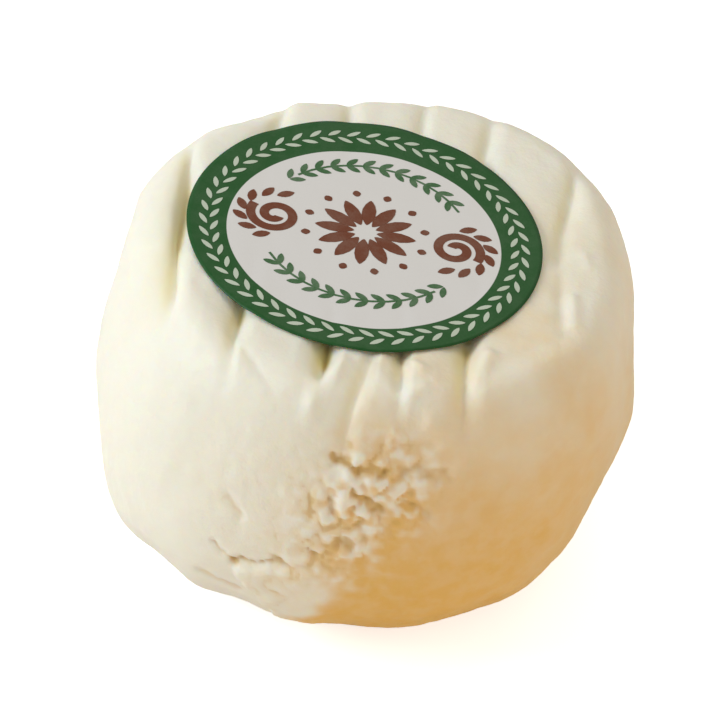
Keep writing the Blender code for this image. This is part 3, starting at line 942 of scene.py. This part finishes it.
def laid_tree(name, flat_shape):
    """A tree that takes a flat shape about the label's middle, lays it on the curd and finishes it."""
    tree, given = piece_tree(name, ("Above Paper", *paper_lies))
    flat_x, flat_y, _ = split(tree, tree.nodes.new("GeometryNodeInputPosition").outputs[0])
    x = maths(tree, "ADD", flat_x, LABEL_CENTRE.x)
    y = maths(tree, "ADD", flat_y, LABEL_CENTRE.y)
    level = use_group(tree, paper_lie, X=x, Y=y, **{size: given[size] for size in paper_lies})
    height = maths(tree, "ADD", level, given["Above Paper"])
    laid = moved_to(tree, flat_shape(tree, given), point_of(tree, x, y, height))
    end_piece_tree(tree, laid, given["Finish"])
    return tree


def sheet_thickness(piece, thickness, offset):
    """Gives a flat piece its thickness: offset -1 is down from its face, 1 is up from it."""
    sheet = piece.modifiers.new("thickness", "SOLIDIFY")
    sheet.thickness = thickness
    sheet.offset = offset


# How printed paper takes ink: a little cloudy, with the fibres showing through
INK_WORN = (0.62, 0.66, 0.58, 1)
CLOUD_SIZE, FIBRE_SIZE, WRINKLE_SIZE = 2.6 * MM, 0.28 * MM, 4.5 * MM
print_grain = bpy.data.node_groups.new("print grain", "ShaderNodeTree")
tree = print_grain
open_sockets(tree, "INPUT", "Color", "Ink")
open_sockets(tree, "INPUT", "Float", "Unevenness")
open_sockets(tree, "OUTPUT", "Color", "Colour")
open_sockets(tree, "OUTPUT", "Float", "Relief")
given = tree.nodes.new("NodeGroupInput").outputs
final = tree.nodes.new("NodeGroupOutput").inputs
place = tree.nodes.new("ShaderNodeTexCoord").outputs["Object"]
cloudy = eased(tree, noise(tree, place, CLOUD_SIZE, detail=3, roughness=0.6), -0.6, 0.6)
fibres = noise(tree, place, FIBRE_SIZE, roughness=0.7, draw=1)
share = product(tree, given["Unevenness"], maths(tree, "MULTIPLY_ADD", fibres, 0.5, cloudy))
feed(tree, final["Colour"], mixed(tree, share, given["Ink"], INK_WORN))
wrinkles = noise(tree, place, WRINKLE_SIZE, detail=1, roughness=0.4, draw=2)
feed(tree, final["Relief"], maths(tree, "MULTIPLY_ADD", fibres, 0.12, wrinkles))


def printed_finish(name, ink, unevenness, roughness):
    """Paper or ink, as the print grain colours it: gives back the material, its tree and the grain."""
    material, tree, shader = new_finish(name, roughness, specular=0.22)
    grain = tree.nodes.new("ShaderNodeGroup")
    grain.node_tree = print_grain
    feed_all(tree, grain, {"Ink": ink, "Unevenness": unevenness})
    feed(tree, shader.inputs["Base Color"], grain.outputs["Colour"])
    fine_relief(tree, shader, grain.outputs["Relief"], strength=0.6, distance=0.05 * MM)
    return material, tree, grain


paper_finish, tree, grain = printed_finish("label_paper", PAPER_WHITE, unevenness=0.02, roughness=0.4)
x, y, _ = split(tree, tree.nodes.new("ShaderNodeTexCoord").outputs["Object"])
from_x = maths(tree, "SUBTRACT", x, RING_CENTRE.x)
from_y = maths(tree, "SUBTRACT", y, RING_CENTRE.y)
reach = distance_of(tree, from_x, from_y)
in_ring = eased(tree, reach, RING_INSIDE - PRINT_BLUR, RING_INSIDE + PRINT_BLUR)
feed(tree, grain.inputs["Ink"], mixed(tree, in_ring, PAPER_WHITE, RING_GREEN))

disc = [(LABEL_RADIUS * i / PAPER_RINGS, 0) for i in range(PAPER_RINGS + 1)]
paper = turned_piece("label_round", disc, PAPER_SECTORS)
paper_tree = laid_tree("laid paper", lambda tree, given: given["Geometry"])
grow(paper, paper_tree, {**paper_lies, "Finish": paper_finish})
sheet_thickness(paper, PAPER_THICKNESS, -1)
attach(paper, "root")
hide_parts("label")


# The printed ornament
# A plain country pattern in three inks: cream leaves round the ring, green sprigs at the back and the
# front, and a brown daisy between two curls. Each ink is a film on the paper, made from rows of leaves.
INK_RISE = 0.015 * MM
INK_THICKNESS = 0.02 * MM
LEAF_SIDES = 14
STEM_POINTS = 40


class LeafRow(NamedTuple):
    """Leaves along an arc, in millimetres and degrees: lean is from the arc's own direction."""
    count: int
    radius: float
    start: float
    sweep: float
    length: float
    width: float
    lean: float
    centre: tuple = (0, 0)


class Stem(NamedTuple):
    """An inked line along a spiral or an arc, in millimetres, turns and degrees."""
    inner: float
    outer: float
    turns: float
    angle: float
    width: float
    centre: tuple = (0, 0)


# A row of leaves: a flat round narrowed to a leaf, set along an arc and turned with it
LEAF_POINTING = 0.6               # a higher power gives a leaf more pointed ends
leaf_row = bpy.data.node_groups.new("row of leaves", "GeometryNodeTree")
tree = leaf_row
open_sockets(tree, "INPUT", "Int", "Count")
open_sockets(tree, "INPUT", "Float", "Radius", "Start", "Sweep", "Length", "Width", "Lean")
open_sockets(tree, "INPUT", "Vector", "Centre")
open_sockets(tree, "OUTPUT", "Geometry", "Leaves")
given = tree.nodes.new("NodeGroupInput").outputs
blank = add_node(tree, "GeometryNodeMeshCircle", Vertices=LEAF_SIDES, Radius=1)
blank.fill_type = "TRIANGLE_FAN"
x, y, _ = split(tree, tree.nodes.new("GeometryNodeInputPosition").outputs[0])
narrow = product(tree, y, maths(tree, "POWER", maths(tree, "ABSOLUTE", y), LEAF_POINTING))
leaf = moved_to(tree, blank.outputs[0], point_of(
    tree, product(tree, x, given["Length"], 0.5), product(tree, narrow, given["Width"], 0.5), 0))
arc = add_node(tree, "GeometryNodeCurveArc", Resolution=given["Count"], Radius=given["Radius"],
               Start_Angle=given["Start"], Sweep_Angle=given["Sweep"])
x, y, _ = split(tree, tree.nodes.new("GeometryNodeInputPosition").outputs[0])
turned = summed(tree, [maths(tree, "ARCTAN2", y, x), given["Lean"]])
rotation = tree.nodes.new("FunctionNodeEulerToRotation")
feed(tree, rotation.inputs[0], point_of(tree, 0, 0, maths(tree, "ADD", turned, math.pi / 2)))
set_out = add_node(tree, "GeometryNodeInstanceOnPoints", Points=arc.outputs["Curve"],
                   Instance=leaf, Rotation=rotation.outputs[0])
moved = add_node(tree, "GeometryNodeTransform", Geometry=set_out.outputs[0], Translation=given["Centre"])
whole = add_node(tree, "GeometryNodeRealizeInstances", Geometry=moved.outputs[0])
feed(tree, tree.nodes.new("NodeGroupOutput").inputs[0], whole.outputs[0])


def inked_stem(tree, stem):
    """A flat ribbon of ink along a spiral."""
    spiral = add_node(tree, "GeometryNodeCurveSpiral", Resolution=STEM_POINTS, Rotations=stem.turns,
                      Start_Radius=stem.inner * MM, End_Radius=stem.outer * MM, Height=0)
    half_nib = stem.width / 2 * MM
    nib = add_node(tree, "GeometryNodeCurvePrimitiveLine", Start=(-half_nib, 0, 0), End=(half_nib, 0, 0))
    ribbon = tree.nodes.new("GeometryNodeCurveToMesh")
    feed_all(tree, ribbon, {"Curve": spiral.outputs[0], "Profile Curve": nib.outputs[0]})
    place = (stem.centre[0] * MM, stem.centre[1] * MM, 0)
    moved = add_node(tree, "GeometryNodeTransform", Geometry=ribbon.outputs[0], Translation=place,
                     Rotation=(0, 0, math.radians(stem.angle)))
    return moved.outputs[0]


def print_ornament(name, rows, stems, finish):
    """One ink of the label's print, from its rows of leaves and its stems."""
    def flat_shape(tree, given):
        joined = tree.nodes.new("GeometryNodeJoinGeometry")
        for row in rows:
            leaves = use_group(
                tree, leaf_row, Count=row.count, Radius=row.radius * MM,
                Start=math.radians(row.start), Sweep=math.radians(row.sweep),
                Length=row.length * MM, Width=row.width * MM, Lean=math.radians(row.lean),
                Centre=(row.centre[0] * MM, row.centre[1] * MM, 0))
            tree.links.new(leaves, joined.inputs[0])
        for stem in stems:
            tree.links.new(inked_stem(tree, stem), joined.inputs[0])
        return joined.outputs[0]

    piece = bpy.data.objects.new(name, bpy.data.meshes.new(name))
    scene.collection.objects.link(piece)
    grow(piece, laid_tree(name, flat_shape), {**paper_lies, "Above Paper": INK_RISE, "Finish": finish})
    piece.data.shade_flat()
    sheet_thickness(piece, INK_THICKNESS, 1)
    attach(piece, "root")


def full_turn(count):
    """The sweep that spaces leaves evenly all the way round."""
    return 360 * (count - 1) / count


RING_MIDDLE = (0, -0.35)          # millimetres from the label's middle
ring_leaves = [
    LeafRow(50, 18.7, 0, full_turn(50), 1.95, 0.62, 28, RING_MIDDLE),
    LeafRow(50, 17.45, 3.6, full_turn(50), 1.95, 0.62, -28, RING_MIDDLE),
]
CREAM_INK = (0.54, 0.61, 0.51, 1)
cream_ink, _, _ = printed_finish("cream_ink", CREAM_INK, unevenness=0.08, roughness=0.45)
print_ornament("label_ring_leaves", ring_leaves, (), cream_ink)

sprig_leaves, sprig_stems = [], []
for start in (40, 220):
    sprig_leaves += [
        LeafRow(12, 12.9, start, 100, 1.9, 0.8, 38),
        LeafRow(12, 11.6, start, 100, 1.9, 0.8, -38),
    ]
    sprig_stems.append(Stem(12.25, 12.25, 104 / 360, start - 83, 0.3))
GREEN_INK = (0.045, 0.135, 0.050, 1)
green_ink, _, _ = printed_finish("green_ink", GREEN_INK, unevenness=0.10, roughness=0.4)
print_ornament("label_green_sprigs", sprig_leaves, sprig_stems, green_ink)

daisy = [
    LeafRow(12, 3.6, 0, full_turn(12), 4.6, 1.7, 90),
    LeafRow(12, 7.0, 15, full_turn(12), 1.0, 1.1, 0),
]
curls = []
for side, angle in ((1, 0), (-1, 180)):
    curl_centre = (side * 10.6, side * -0.3)
    curls.append(Stem(0.6, 3.0, 1.5, angle + 150, 1.1, curl_centre))
    daisy.append(LeafRow(7, 4.1, angle - 100, 175, 2.2, 1.1, 40, curl_centre))
BROWN_INK = (0.165, 0.043, 0.018, 1)
brown_ink, _, _ = printed_finish("brown_ink", BROWN_INK, unevenness=0.05, roughness=0.4)
print_ornament("label_brown_daisy", daisy, curls, brown_ink)
